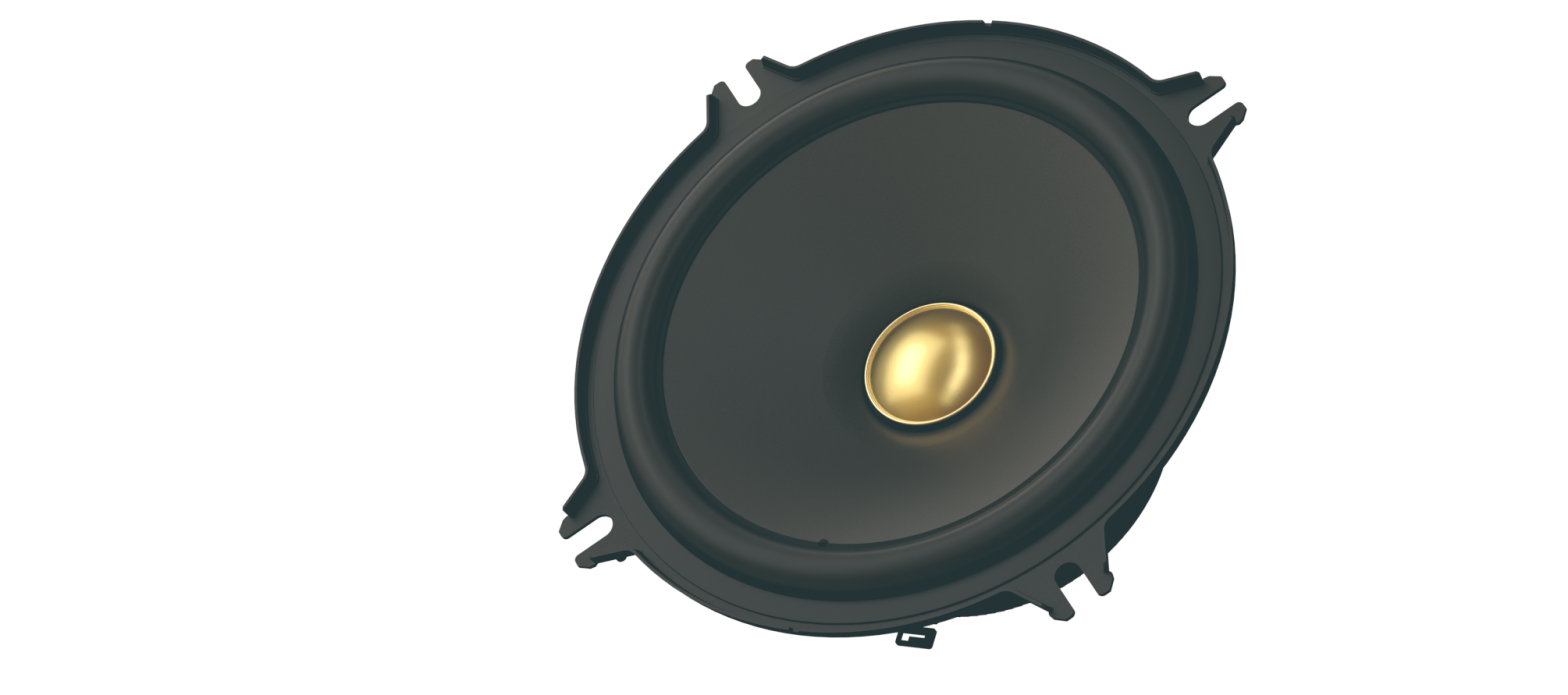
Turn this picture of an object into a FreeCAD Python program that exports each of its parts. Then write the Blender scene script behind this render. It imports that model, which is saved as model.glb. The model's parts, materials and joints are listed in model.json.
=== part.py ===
import FreeCAD, Part
import math
import os
from types import SimpleNamespace

import Sketcher

# A 13 cm car woofer. The axis is Z, the cone faces +Z, and z = 0 is the back face of the mounting
# flange. Depths are measured down from that face, heights up from it. All sizes are millimetres.

FLANGE = {
    "sheet": 0.8,
    "rim_r": 67.2,
    "rim_height": 3.55,
    "rim_wall": 0.6,
    "rim_draft": 0.45,
    "rim_flare": 0.85,
    "rim_bend": 0.7,
    "rim_land": 0.18,
    "rim_land_rise": 0.45,
    "notch_top": 2.1,
    "notch_bottom": 1.5,
    "notch_depth": 0.85,
    "notch_cut": 150.0,
    "body_r": 59.0,
}

EARS = {
    "ear_count": 4,
    "ear_first_angle": 45.0,
    "ear_root_u": 60.0,
    "ear_side_angle": 25.75,
    "ear_wall_u": 74.1,
    "ear_wall_v": 6.88,
    "ear_wall_cut": 0.55,
    "ear_tuck": 0.2,
    "ear_shoulder_u": 74.2,
    "ear_shoulder_v": 6.8,
    "ear_corner_u": 75.3,
    "ear_corner_v": 6.5,
    "ear_tip_u": 77.1,
    "ear_tip_v": 4.75,
    "ear_lip_round": 1.1,
    "foot_round": 3.0,
    "foot_base_round": 1.5,
    "slot_half": 2.55,
    "slot_end_u": 69.5,
    "nib_u": 69.3,
    "nib_v": 6.3,
    "nib_r": 1.15,
    "nib_height": 2.6,
}

BASKET = {
    "shoulder_depth": 6.0,
    "shoulder_drop": 0.42,
    "ledge_depth": 21.0,
    "ledge_r": 36.5,
    "ledge_run": 0.24,
    "cup_r": 31.8,
    "cup_depth": 28.3,
    "basket_bore_r": 18.0,
    "window_count": 4,
    "window_mid_r": 47.8,
    "window_half": 7.6,
    "window_half_angle": 21.0,
    "bracket_half": 12.0,
    "bracket_root": 28.6,
    "bracket_reach": 39.2,
}

MOTOR = {
    "plate_r": 34.0,
    "plate_bore_r": 13.95,
    "plate_thick": 5.0,
    "edge_break": 0.4,
    "magnet_r": 36.4,
    "magnet_bore_r": 16.5,
    "magnet_thick": 10.5,
    "yoke_r": 34.5,
    "yoke_thick": 4.0,
    "pole_r": 12.2,
    "pole_rise": 0.3,
    "vent_r": 4.5,
    "vent_mouth_r": 7.2,
    "screen_thick": 0.4,
    "screen_pitch": 1.7,
    "screen_hole_r": 0.6,
    "screen_rings": 3,
    "screen_first_count": 6,
    "shorting_wall": 0.25,
    "shorting_skirt": 9.0,
    "boot_r": 38.8,
    "boot_draft": 0.4,
    "boot_gap": 0.1,
    "boot_floor": 1.1,
    "boot_lip": 1.4,
    "boot_round": 0.6,
    "boot_opening_r": 12.0,
    "stake_count": 4,
    "stake_pitch_r": 24.5,
    "stake_r": 1.6,
    "stake_head_r": 2.9,
    "stake_head": 0.9,
    "stake_bite": 3.0,
}

COIL = {
    "former_bore_r": 12.7,
    "former_wall": 0.2,
    "former_top": 16.05,
    "former_bottom": 36.6,
    "winding_wall": 0.55,
    "winding_top": 25.8,
    "winding_bottom": 35.8,
    "collar_wall": 0.25,
    "collar_top": 17.4,
    "collar_bottom": 24.8,
}

SUSPENSION = {
    "lip_r": 64.2,
    "lip_thick": 0.4,
    "roll_r": 5.0,
    "roll_mid_r": 54.4,
    "roll_sink": 0.28,
    "rubber": 0.5,
    "seam_r": 48.7,
    "seam_height": 2.5,
    "mark_r": 1.0,
    "mark_inset": 0.2,
    "spider_r": 35.8,
    "spider_land_r": 31.9,
    "spider_neck_r": 16.1,
    "spider_thick": 0.4,
    "spider_wave_r": 1.2,
    "spider_wave_count": 5,
}

CONE = {
    "cone_r": 50.2,
    "cone_lip": 0.2,
    "cone_wall": 0.5,
    "cone_bend_r": 21.0,
    "cone_bend_depth": 12.0,
    "cone_throat_r": 14.6,
    "cone_throat_depth": 16.6,
    "cone_throat_round": 30.0,
    "cone_slope": 27.8,
    "throat_slope": 43.0,
    "neck_r": 13.6,
    "neck_depth": 17.7,
    "neck_bottom": 18.9,
    "cap_r": 12.95,
    "cap_base": 15.75,
    "cap_rise": 4.65,
    "cap_bead_r": 0.38,
    "cap_wall": 0.3,
    "cap_seat_r": 12.5,
    "glue_share": 0.6,
}

TERMINALS = {
    "board_thick": 0.8,
    "board_half": 13.4,
    "board_inner": 36.2,
    "board_side": 46.9,
    "board_lug": 11.5,
    "board_lug_side": 48.05,
    "board_corner": 10.9,
    "board_outer": 48.85,
    "hook_top": 50.0,
    "hook_root": 8.2,
    "hook_left": 3.8,
    "hook_right": 11.45,
    "hook_end": 54.08,
    "hook_round": 0.6,
    "eye_left": 4.6,
    "eye_right": 6.4,
    "eye_top": 51.4,
    "eye_bottom": 53.15,
    "eye_slit_right": 9.6,
    "eye_slit_bottom": 52.2,
    "tag_thick": 0.8,
    "tag_end": 20.0,
    "tag_overlap": 2.8,
    "tag_nose_share": 0.2,
    "lock_place_share": 0.8,
    "lock_share": 0.15,
    "positive_across": 5.0,
    "positive_out": 41.5,
    "positive_width": 4.75,
    "negative_across": 5.0,
    "negative_out": 46.5,
    "negative_width": 2.8,
    "rivet_r": 1.0,
    "rivet_head_r": 1.7,
    "rivet_head": 0.6,
    "board_rivet_across": 9.5,
    "board_rivet_out": 37.9,
    "board_rivet_r": 0.9,
    "board_rivet_head_r": 1.2,
    "lead_r": 0.55,
    "lead_straight_top": 19.2,
    "lead_bend_r": 8.0,
    "lead_end": 27.4,
    "anchor_inner_r": 24.7,
    "anchor_outer_r": 27.75,
    "anchor_depth": 12.2,
    "anchor_angle": 4.6,
    "anchor_turn": 10.6,
    "wire_r": 0.2,
    "wire_start_r": 13.9,
    "wire_start_depth": 20.2,
    "wire_turn_depth": 19.1,
    "wire_gap": 0.1,
}

REAR = -90.0  # degrees about Z from +X round to the side that carries the terminals

SIZES = {**FLANGE, **EARS, **BASKET, **MOTOR, **COIL, **SUSPENSION, **CONE, **TERMINALS}


class Dim:
    """A size that carries its value together with the sheet expression that drives it."""

    def __init__(self, text, value):
        self.text = text
        self.value = value

    def __add__(self, other):
        other = as_dim(other)
        return Dim(f"({self.text} + {other.text})", self.value + other.value)

    def __sub__(self, other):
        other = as_dim(other)
        return Dim(f"({self.text} - {other.text})", self.value - other.value)

    def __mul__(self, other):
        other = as_dim(other)
        return Dim(f"({self.text} * {other.text})", self.value * other.value)

    def __truediv__(self, other):
        other = as_dim(other)
        return Dim(f"({self.text} / {other.text})", self.value / other.value)

    def __neg__(self):
        return Dim(f"(0 - {self.text})", -self.value)

    def cos(self):
        return Dim(f"cos({self.text} * 1 deg)", math.cos(math.radians(self.value)))

    def sin(self):
        return Dim(f"sin({self.text} * 1 deg)", math.sin(math.radians(self.value)))

    def sqrt(self):
        return Dim(f"sqrt({self.text})", math.sqrt(self.value))


def as_dim(number):
    return number if isinstance(number, Dim) else Dim(repr(number), number)


def half_chord(radius, offset):
    """Half the chord that a circle cuts from a line at an offset from its centre."""
    return (radius * radius - offset * offset).sqrt()


def dome_radius(base, rise):
    """Radius of the sphere whose cap has this base radius and rise."""
    return (base * base + rise * rise) / (rise * 2)


def make_sheet(doc):
    """Writes every driving size into the sheet and returns the sizes by name."""
    sheet = doc.addObject("Spreadsheet::Sheet", "dims")
    for row, (name, value) in enumerate(SIZES.items(), start=1):
        sheet.set(f"A{row}", name)
        sheet.set(f"B{row}", str(value))
        sheet.setAlias(f"B{row}", name)
    doc.recompute()
    return SimpleNamespace(**{name: Dim(f"dims.{name}", value) for name, value in SIZES.items()})


doc = FreeCAD.newDocument("woofer")
d = make_sheet(doc)
ZERO = as_dim(0.0)


# ---- drawing helpers ---------------------------------------------------------------------------


def new_body(node):
    body = doc.addObject("PartDesign::Body", node)
    body.Label = node
    body.AllowCompound = True
    return body


def new_sketch(body, name, role, lift=ZERO, turn=0.0):
    """A sketch on one of the body's own origin planes, lifted along the plane's normal."""
    sketch = body.newObject("Sketcher::SketchObject", f"{body.Name}_{name}")
    plane = next(o for o in body.Origin.OriginFeatures if o.Role == role)
    sketch.AttachmentSupport = [(plane, "")]
    sketch.MapMode = "FlatFace"
    spin = FreeCAD.Rotation(FreeCAD.Vector(0, 0, 1), turn)
    sketch.AttachmentOffset = FreeCAD.Placement(FreeCAD.Vector(0, 0, lift.value), spin)
    if lift is not ZERO:
        sketch.setExpression(".AttachmentOffset.Base.z", lift.text)
    return sketch


def arc_between(start, end, radius):
    """An arc of less than half a turn. A positive radius keeps its centre left of the way."""
    chord = end - start
    reach = math.sqrt(max(radius * radius - chord.Length * chord.Length / 4, 0.0))
    left = FreeCAD.Vector(-chord.y, chord.x, 0).normalize()
    centre = (start + end) * 0.5 + left * math.copysign(reach, radius)
    first, last = (start, end) if radius > 0 else (end, start)
    angles = [math.atan2(p.y - centre.y, p.x - centre.x) for p in (first, last)]
    circle = Part.Circle(centre, FreeCAD.Vector(0, 0, 1), abs(radius))
    return Part.ArcOfCircle(circle, angles[0], angles[1])


def fix_point(sketch, geometry, end, point, name):
    """Pins one end of an edge to a pair of sheet-driven coordinates."""
    for axis, size, across in (("X", point[0], -2), ("Y", point[1], -1)):
        if size is ZERO:
            sketch.addConstraint(Sketcher.Constraint("PointOnObject", geometry, end, across))
            continue
        held = Sketcher.Constraint(f"Distance{axis}", -1, 1, geometry, end, size.value)
        sketch.renameConstraint(sketch.addConstraint(held), f"{name}{axis}")
        sketch.setExpression(f"Constraints.{name}{axis}", size.text)


def fix_radius(sketch, geometry, radius, name):
    held = Sketcher.Constraint("Radius", geometry, radius.value)
    sketch.renameConstraint(sketch.addConstraint(held), name)
    sketch.setExpression(f"Constraints.{name}", radius.text)


def draw(sketch, path, prefix="p", closed=True):
    """Draws lines and arcs through a path of (x, y) or (x, y, radius) steps.

    A radius makes the edge that arrives at its point an arc: positive turns left, negative right."""
    steps = [tuple(as_or_zero(v) for v in step) for step in path]
    points = [FreeCAD.Vector(step[0].value, step[1].value, 0) for step in steps]
    edges = []
    for i in range(0 if closed else 1, len(steps)):
        start, end = points[i - 1], points[i]
        if len(steps[i]) == 3:
            turn = steps[i][2]
            edge = sketch.addGeometry(arc_between(start, end, turn.value), False)
            size = turn if turn.value > 0 else -turn
            fix_radius(sketch, edge, size, f"{prefix}{i}R")
            edges.append((edge, 1, 2) if turn.value > 0 else (edge, 2, 1))
        else:
            edge = sketch.addGeometry(Part.LineSegment(start, end), False)
            edges.append((edge, 1, 2))
    for i, (edge, _, last) in enumerate(edges):
        step = i if closed else i + 1
        fix_point(sketch, edge, last, steps[step], f"{prefix}{step}")
        if closed or i + 1 < len(edges):
            following, first, _ = edges[(i + 1) % len(edges)]
            joined = Sketcher.Constraint("Coincident", edge, last, following, first)
            sketch.addConstraint(joined)
    if not closed:
        fix_point(sketch, edges[0][0], edges[0][1], steps[0], f"{prefix}0")


def as_or_zero(value):
    return ZERO if isinstance(value, (int, float)) and value == 0 else as_dim(value)


def draw_circle(sketch, x, y, radius, name="c"):
    middle = FreeCAD.Vector(x.value, y.value, 0)
    circle = Part.Circle(middle, FreeCAD.Vector(0, 0, 1), radius.value)
    edge = sketch.addGeometry(circle, False)
    fix_radius(sketch, edge, radius, f"{name}R")
    fix_point(sketch, edge, 3, (x, y), name)


def lathe(body, name, path, angle=360.0, turn=0.0):
    """Turns a profile of (radius, height) steps about the Z axis."""
    sketch = new_sketch(body, f"{name}_profile", "XZ_Plane")
    if turn:
        spin = FreeCAD.Rotation(FreeCAD.Vector(0, 1, 0), turn)
        sketch.AttachmentOffset = FreeCAD.Placement(FreeCAD.Vector(), spin)
    draw(sketch, path)
    feature = body.newObject("PartDesign::Revolution", f"{body.Name}_{name}")
    feature.Profile = sketch
    feature.ReferenceAxis = (sketch, ["V_Axis"])
    feature.Angle = angle
    feature.Midplane = angle < 360.0
    body.Tip = feature
    return feature


def extrude(body, kind, name, sketch, length, backwards=False, midplane=False):
    """A Pad or a Pocket of the sketch. Backwards sends it the other way from the usual one."""
    feature = body.newObject(f"PartDesign::{kind}", f"{body.Name}_{name}")
    feature.Profile = sketch
    feature.Length = length.value
    feature.setExpression("Length", length.text)
    feature.Reversed = backwards
    feature.Midplane = midplane
    body.Tip = feature
    return feature


def loft(body, kind, name, turn, sections):
    """A straight-sided Additive or Subtractive loft through (height, outline) sections."""
    plans = []
    for i, (height, outline) in enumerate(sections):
        plan = new_sketch(body, f"{name}_plan_{i}", "XY_Plane", height, turn)
        draw(plan, outline)
        plans.append(plan)
    feature = body.newObject(f"PartDesign::{kind}Loft", f"{body.Name}_{name}")
    feature.Profile = plans[0]
    feature.Sections = plans[1:]
    feature.Ruled = True
    body.Tip = feature
    return feature


def repeat_round(body, name, features, count):
    """Repeats features evenly round the Z axis."""
    pattern = body.newObject("PartDesign::PolarPattern", f"{body.Name}_{name}")
    pattern.Originals = features
    axis = next(o for o in body.Origin.OriginFeatures if o.Role == "Z_Axis")
    pattern.Axis = (axis, [""])
    pattern.Angle = 360.0
    pattern.Occurrences = int(count.value)
    pattern.setExpression("Occurrences", count.text)
    body.Tip = pattern
    return pattern


def mirror_across_x(body, name, feature):
    """Copies a feature to the other side of the YZ plane."""
    mirrored = body.newObject("PartDesign::Mirrored", f"{body.Name}_{name}")
    mirrored.Originals = [feature]
    plane = next(o for o in body.Origin.OriginFeatures if o.Role == "YZ_Plane")
    mirrored.MirrorPlane = (plane, [""])
    body.Tip = mirrored
    return mirrored


def tube(inner, outer, top, bottom):
    """A square-edged ring profile between two radii, from one depth to another."""
    return [(inner, -top), (outer, -top), (outer, -bottom), (inner, -bottom)]


def broken_ring(inner, outer, top, bottom, edge):
    """A ring profile whose two outer edges are chamfered."""
    return [
        (inner, -top),
        (outer - edge, -top),
        (outer, -(top + edge)),
        (outer, -(bottom - edge)),
        (outer - edge, -bottom),
        (inner, -bottom),
    ]


# ---- basket ------------------------------------------------------------------------------------


def wall_insets(height):
    """How far in from the rim's outer top edge the wall's outer and inner faces lie at a height."""
    share = (d.rim_height - height) / (d.rim_height - d.rim_bend)
    return share * d.rim_draft, share * d.rim_flare + d.rim_wall


def ear_edge(inset, foot_round, cut=ZERO):
    """Corner points, as (u, v), of a line that leaves the rim and runs out along an ear's side.

    It lies at an inset from the rim's and the side's outer top edge. Its foot is a round that
    touches the rim's circle, and its outer end stops short by the cut."""
    rim_r = d.rim_r - inset
    out_u, out_v = d.ear_side_angle.sin(), d.ear_side_angle.cos()
    clear = out_u * d.ear_wall_u + out_v * d.ear_wall_v - inset + foot_round
    along = half_chord(rim_r + foot_round, clear)
    centre_u = out_u * clear + out_v * along
    centre_v = out_v * clear - out_u * along
    touch = rim_r / (rim_r + foot_round)
    return SimpleNamespace(
        rim=(centre_u * touch, centre_v * touch),
        side=(centre_u - out_u * foot_round, centre_v - out_v * foot_round),
        end=(
            d.ear_wall_u - out_u * inset - out_v * cut,
            d.ear_wall_v - out_v * inset + out_u * cut,
        ),
        foot_round=foot_round,
    )


def mirrored_v(path):
    """The same steps on the ear's other side, in the same order, with their arcs turned over."""
    return [(step[0], -step[1], *(-turn for turn in step[2:])) for step in path]


def wall_levels():
    """Heights of an ear wall, each with its two faces' insets, its foot round and its end cut."""
    shoulder = d.rim_height - d.ear_wall_cut
    outer, inner = wall_insets(d.rim_bend)
    return [
        (ZERO, outer + d.ear_tuck, inner, d.foot_base_round, ZERO),
        (d.rim_bend, outer, inner, d.foot_base_round, ZERO),
        (shoulder, *wall_insets(shoulder), d.foot_round, ZERO),
        (d.rim_height, ZERO, d.rim_wall, d.foot_round, d.ear_wall_cut),
    ]


def ear_outline():
    """The ear's flat plate with its open screw slot. Its sides end inside the side walls."""
    outer, inner = wall_insets(d.rim_bend)
    foot = ear_edge((outer + inner) / 2, d.foot_base_round, d.ear_wall_cut)
    tip_inner = d.slot_half + d.ear_lip_round
    slot_mouth = d.ear_tip_u - d.ear_lip_round
    upper = [
        (d.ear_root_u, foot.rim[1]),
        foot.rim,
        (*foot.side, d.foot_base_round),
        foot.end,
        (d.ear_shoulder_u, d.ear_shoulder_v),
        (d.ear_corner_u, d.ear_corner_v),
        (d.ear_tip_u, d.ear_tip_v),
        (d.ear_tip_u, tip_inner),
        (slot_mouth, d.slot_half, -d.ear_lip_round),
        (d.slot_end_u, d.slot_half),
        (d.slot_end_u - d.slot_half, 0, d.slot_half),
    ]
    lower = [
        (d.slot_end_u, -d.slot_half, d.slot_half),
        (slot_mouth, -d.slot_half),
        (d.ear_tip_u, -tip_inner, -d.ear_lip_round),
        (d.ear_tip_u, -d.ear_tip_v),
        (d.ear_corner_u, -d.ear_corner_v),
        (d.ear_shoulder_u, -d.ear_shoulder_v),
        (foot.end[0], -foot.end[1]),
        (foot.side[0], -foot.side[1]),
        (foot.rim[0], -foot.rim[1], d.foot_base_round),
        (d.ear_root_u, -foot.rim[1]),
    ]
    return upper + lower


def ear_gap_outline(level):
    """The opening between an ear's two side walls at one height."""
    _, outer, inner, foot_round, cut = level
    half = (inner - outer) / 2
    edge = ear_edge(outer + half, foot_round + half, cut)
    return [
        (d.ear_root_u, edge.rim[1]),
        edge.rim,
        (*edge.side, edge.foot_round),
        edge.end,
        (edge.end[0], -edge.end[1]),
        (edge.side[0], -edge.side[1]),
        (edge.rim[0], -edge.rim[1], edge.foot_round),
        (d.ear_root_u, -edge.rim[1]),
    ]


def ear_wall_outline(level):
    """One turned-up side wall of an ear at one height."""
    _, outer_inset, inner_inset, foot_round, cut = level
    outer = ear_edge(outer_inset, foot_round, cut)
    inner = ear_edge(inner_inset, foot_round + inner_inset - outer_inset, cut)
    return [
        outer.rim,
        (*outer.side, outer.foot_round),
        outer.end,
        inner.end,
        inner.side,
        (*inner.rim, -inner.foot_round),
    ]


def window_outline():
    """A curved window between two legs, centred on +X."""
    mid_u = d.window_half_angle.cos()
    mid_v = d.window_half_angle.sin()
    inner = d.window_mid_r - d.window_half
    outer = d.window_mid_r + d.window_half
    tip_u = mid_u * d.window_mid_r - mid_v * d.window_half
    tip_v = mid_v * d.window_mid_r + mid_u * d.window_half
    return [
        (mid_u * inner, mid_v * inner, inner),
        (tip_u, tip_v, -d.window_half),
        (mid_u * outer, mid_v * outer, -d.window_half),
        (mid_u * outer, -(mid_v * outer), -outer),
        (tip_u, -tip_v, -d.window_half),
        (mid_u * inner, -(mid_v * inner), -d.window_half),
    ]


def make_basket():
    """Pressed steel frame: rim, flange, legs, suspension ledge and the cup over the motor."""
    body = new_body("basket")
    bore = d.body_r - d.sheet
    foot_outer, foot_inner = wall_insets(d.rim_bend)
    foot_r = d.rim_r - foot_outer
    land_top = d.sheet + d.rim_land_rise
    _, land_inset = wall_insets(land_top)
    lathe(body, "shell", [
        (bore, d.sheet),
        (d.rim_r - land_inset - d.rim_land, d.sheet),
        (d.rim_r - land_inset - d.rim_land, land_top),
        (d.rim_r - land_inset, land_top),
        (d.rim_r - d.rim_wall, d.rim_height),
        (d.rim_r, d.rim_height),
        (foot_r, d.rim_bend),
        (foot_r - d.rim_bend, 0, -d.rim_bend),
        (d.body_r, 0),
        (d.body_r, -(d.shoulder_depth + d.shoulder_drop)),
        (d.ledge_r + d.ledge_run, -(d.ledge_depth + d.sheet)),
        (d.cup_r, -(d.ledge_depth + d.sheet)),
        (d.cup_r, -d.cup_depth),
        (d.basket_bore_r, -d.cup_depth),
        (d.basket_bore_r, -(d.cup_depth - d.sheet)),
        (d.cup_r - d.sheet, -(d.cup_depth - d.sheet)),
        (d.cup_r - d.sheet, -d.ledge_depth),
        (d.ledge_r, -d.ledge_depth),
        (bore, -d.shoulder_depth),
    ])

    first = d.ear_first_angle.value
    levels = wall_levels()
    gap_levels = [(d.sheet, *levels[1][1:]), *levels[2:]]
    gap_cut = loft(body, "Subtractive", "gap", first, [
        (level[0], ear_gap_outline(level)) for level in gap_levels])
    repeat_round(body, "gaps", [gap_cut], d.ear_count)

    ear = new_sketch(body, "ear_plan", "XY_Plane", ZERO, first)
    draw(ear, ear_outline())
    ear_pad = extrude(body, "Pad", "ear", ear, d.sheet)
    repeat_round(body, "ears", [ear_pad], d.ear_count)

    left = [(level[0], ear_wall_outline(level)) for level in levels]
    right = [(height, mirrored_v(outline)) for height, outline in left]
    for side, sections in (("left", left), ("right", right)):
        wall = loft(body, "Additive", f"{side}_wall", first, sections)
        repeat_round(body, f"{side}_walls", [wall], d.ear_count)

    land_outer = (foot_outer + foot_inner) / 2
    land_round = d.foot_base_round + land_outer - foot_outer
    land = ear_wall_outline((d.sheet, land_outer, land_inset + d.rim_land, land_round, ZERO))
    for side, outline in (("left", land), ("right", mirrored_v(land))):
        plan = new_sketch(body, f"{side}_land_plan", "XY_Plane", d.sheet, first)
        draw(plan, outline)
        land_pad = extrude(body, "Pad", f"{side}_land", plan, d.rim_land_rise)
        repeat_round(body, f"{side}_lands", [land_pad], d.ear_count)

    nib = new_sketch(body, "nib_plan", "XY_Plane", ZERO, first)
    draw_circle(nib, d.nib_u, d.nib_v, d.nib_r)
    nib_pad = extrude(body, "Pad", "nib", nib, d.nib_height, backwards=True)
    repeat_round(body, "nibs", [nib_pad], d.ear_count)

    window = new_sketch(body, "window_plan", "XY_Plane", -d.shoulder_depth)
    draw(window, window_outline())
    window_cut = extrude(body, "Pocket", "window", window, d.ledge_depth - d.shoulder_depth)
    repeat_round(body, "windows", [window_cut], d.window_count)

    notch = new_sketch(body, "notch_face", "XZ_Plane")
    draw(notch, [
        (-(d.notch_top / 2), d.rim_height),
        (d.notch_top / 2, d.rim_height),
        (d.notch_bottom / 2, d.rim_height - d.notch_depth),
        (-(d.notch_bottom / 2), d.rim_height - d.notch_depth),
    ])
    extrude(body, "Pocket", "notches", notch, d.notch_cut, midplane=True)

    bracket = new_sketch(body, "bracket_plan", "XY_Plane", -d.cup_depth)
    draw(bracket, [
        (-d.bracket_half, -d.bracket_root),
        (-d.bracket_half, -d.bracket_reach),
        (d.bracket_half, -d.bracket_reach),
        (d.bracket_half, -d.bracket_root),
    ])
    extrude(body, "Pad", "bracket", bracket, d.sheet)
    stake_holes(body, "stake_hole", d.cup_depth - d.sheet, d.sheet)
    holes = new_sketch(body, "bracket_hole_plan", "XY_Plane", -(d.cup_depth - d.sheet))
    draw_circle(holes, d.board_rivet_across, -d.board_rivet_out, d.board_rivet_r, "right")
    draw_circle(holes, -d.board_rivet_across, -d.board_rivet_out, d.board_rivet_r, "left")
    extrude(body, "Pocket", "bracket_holes", holes, d.sheet)
    return body


# ---- moving parts and suspension ---------------------------------------------------------------


def make_surround():
    """Rubber half-roll with a flat lip on the flange, a lip on the cone and an alignment mark."""
    body = new_body("surround")
    foot = d.sheet + d.lip_thick
    mid = foot - d.roll_sink
    top_r = d.roll_r
    under_r = d.roll_r - d.rubber
    seam_top = d.seam_height + d.rubber
    outer_top = d.roll_mid_r + half_chord(top_r, d.roll_sink)
    outer_under = d.roll_mid_r + half_chord(under_r, d.roll_sink)
    inner_top = d.roll_mid_r - half_chord(top_r, seam_top - mid)
    inner_under = d.roll_mid_r - half_chord(under_r, d.seam_height - mid)
    lathe(body, "roll", [
        (d.lip_r, d.sheet),
        (d.lip_r, foot),
        (outer_top, foot),
        (d.roll_mid_r, mid + top_r, top_r),
        (inner_top, seam_top, top_r),
        (d.seam_r, seam_top),
        (d.seam_r, d.seam_height),
        (inner_under, d.seam_height),
        (d.roll_mid_r, mid + under_r, -under_r),
        (outer_under, foot, -under_r),
        (outer_under, d.sheet),
    ])
    mark = new_sketch(body, "mark_plan", "XY_Plane", d.seam_height)
    draw_circle(mark, ZERO, -(d.seam_r + d.mark_inset), d.mark_r)
    extrude(body, "Pad", "mark", mark, d.rubber)
    return body


def cone_offsets():
    """The wall's sideways and downward offsets on the straight flank and at the throat."""
    return SimpleNamespace(
        flank_out=d.cone_slope.sin() * d.cone_wall,
        flank_down=d.cone_slope.cos() * d.cone_wall,
        throat_out=d.throat_slope.sin() * d.cone_wall,
        throat_down=d.throat_slope.cos() * d.cone_wall,
    )


def make_cone():
    """Stiff cone: flat edge under the rubber lip, straight flank, rounded throat and neck."""
    body = new_body("cone")
    wall = cone_offsets()
    neck_bore = d.former_bore_r + d.former_wall + d.collar_wall
    lathe(body, "shell", [
        (d.cone_r, d.seam_height),
        (d.seam_r - d.cone_lip, d.seam_height),
        (d.cone_bend_r, -d.cone_bend_depth),
        (d.cone_throat_r, -d.cone_throat_depth, d.cone_throat_round),
        (d.neck_r, -d.neck_depth),
        (neck_bore, -d.neck_depth),
        (neck_bore, -d.neck_bottom),
        (d.neck_r, -d.neck_bottom),
        (d.cone_throat_r + wall.throat_out, -(d.cone_throat_depth + wall.throat_down)),
        (d.cone_bend_r + wall.flank_out, -(d.cone_bend_depth + wall.flank_down),
         -(d.cone_throat_round - d.cone_wall)),
        (d.seam_r + wall.flank_out, d.seam_height - d.cone_wall),
        (d.cone_r, d.seam_height - d.cone_wall),
    ])
    return body


def make_dust_cap():
    """Domed cap with a rolled bead that stands on the end of the coil former."""
    body = new_body("dust_cap")
    bead_mid = d.cap_r + d.cap_bead_r
    dome = dome_radius(d.cap_r, d.cap_rise)
    inner_rise = d.cap_rise - d.cap_wall
    inner_dome = dome_radius(d.cap_seat_r, inner_rise)
    lathe(body, "dome", [
        (0, d.cap_rise - d.cap_base),
        (d.cap_r, -d.cap_base, -dome),
        (bead_mid, d.cap_bead_r - d.cap_base, -d.cap_bead_r),
        (bead_mid + d.cap_bead_r, -d.cap_base, -d.cap_bead_r),
        (bead_mid + d.cap_bead_r, -d.former_top),
        (d.cap_seat_r, -d.former_top),
        (d.cap_seat_r, -d.cap_base),
        (0, inner_rise - d.cap_base, inner_dome),
    ])
    return body


def make_former():
    body = new_body("voice_coil_former")
    outer = d.former_bore_r + d.former_wall
    lathe(body, "tube", tube(d.former_bore_r, outer, d.former_top, d.former_bottom))
    return body


def make_winding():
    body = new_body("voice_coil_winding")
    inner = d.former_bore_r + d.former_wall
    outer = inner + d.winding_wall
    lathe(body, "coil", tube(inner, outer, d.winding_top, d.winding_bottom))
    return body


def make_collar():
    body = new_body("former_collar")
    inner = d.former_bore_r + d.former_wall
    lathe(body, "wrap", tube(inner, inner + d.collar_wall, d.collar_top, d.collar_bottom))
    return body


def make_neck_adhesive():
    """The bead of glue between the cone's neck and the coil former."""
    body = new_body("neck_adhesive")
    inner = d.former_bore_r + d.former_wall + d.collar_wall
    rise = (d.neck_depth - d.cone_throat_depth) * d.glue_share
    reach = (d.cone_throat_r - d.neck_r) * d.glue_share
    lathe(body, "bead", [
        (inner, -d.neck_depth),
        (d.neck_r, -d.neck_depth),
        (d.neck_r + reach, -(d.neck_depth - rise)),
        (inner, -(d.neck_depth - rise)),
    ])
    return body


def make_spider():
    """Corrugated centring disc: an outer land on the ledge, waves, and an inner land on the coil."""
    body = new_body("spider")
    bore = d.former_bore_r + d.former_wall + d.collar_wall
    top = -(d.ledge_depth - d.spider_thick)
    under = -d.ledge_depth
    crests = int(d.spider_wave_count.value) * 2
    step = (d.spider_land_r - d.spider_neck_r) / (d.spider_wave_count * 2)
    path = [(d.spider_r, under), (d.spider_r, top), (d.spider_land_r, top)]
    for i in range(1, crests + 1):
        turn = d.spider_wave_r if i % 2 else -d.spider_wave_r
        path.append((d.spider_land_r - step * i, top, turn))
    path += [(bore, top), (bore, under), (d.spider_neck_r, under)]
    for i in range(crests - 1, -1, -1):
        turn = -d.spider_wave_r if i % 2 == 0 else d.spider_wave_r
        path.append((d.spider_land_r - step * i, under, turn))
    lathe(body, "waves", path)
    return body


# ---- motor -------------------------------------------------------------------------------------


def plate_bottom():
    return d.cup_depth + d.plate_thick


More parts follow.
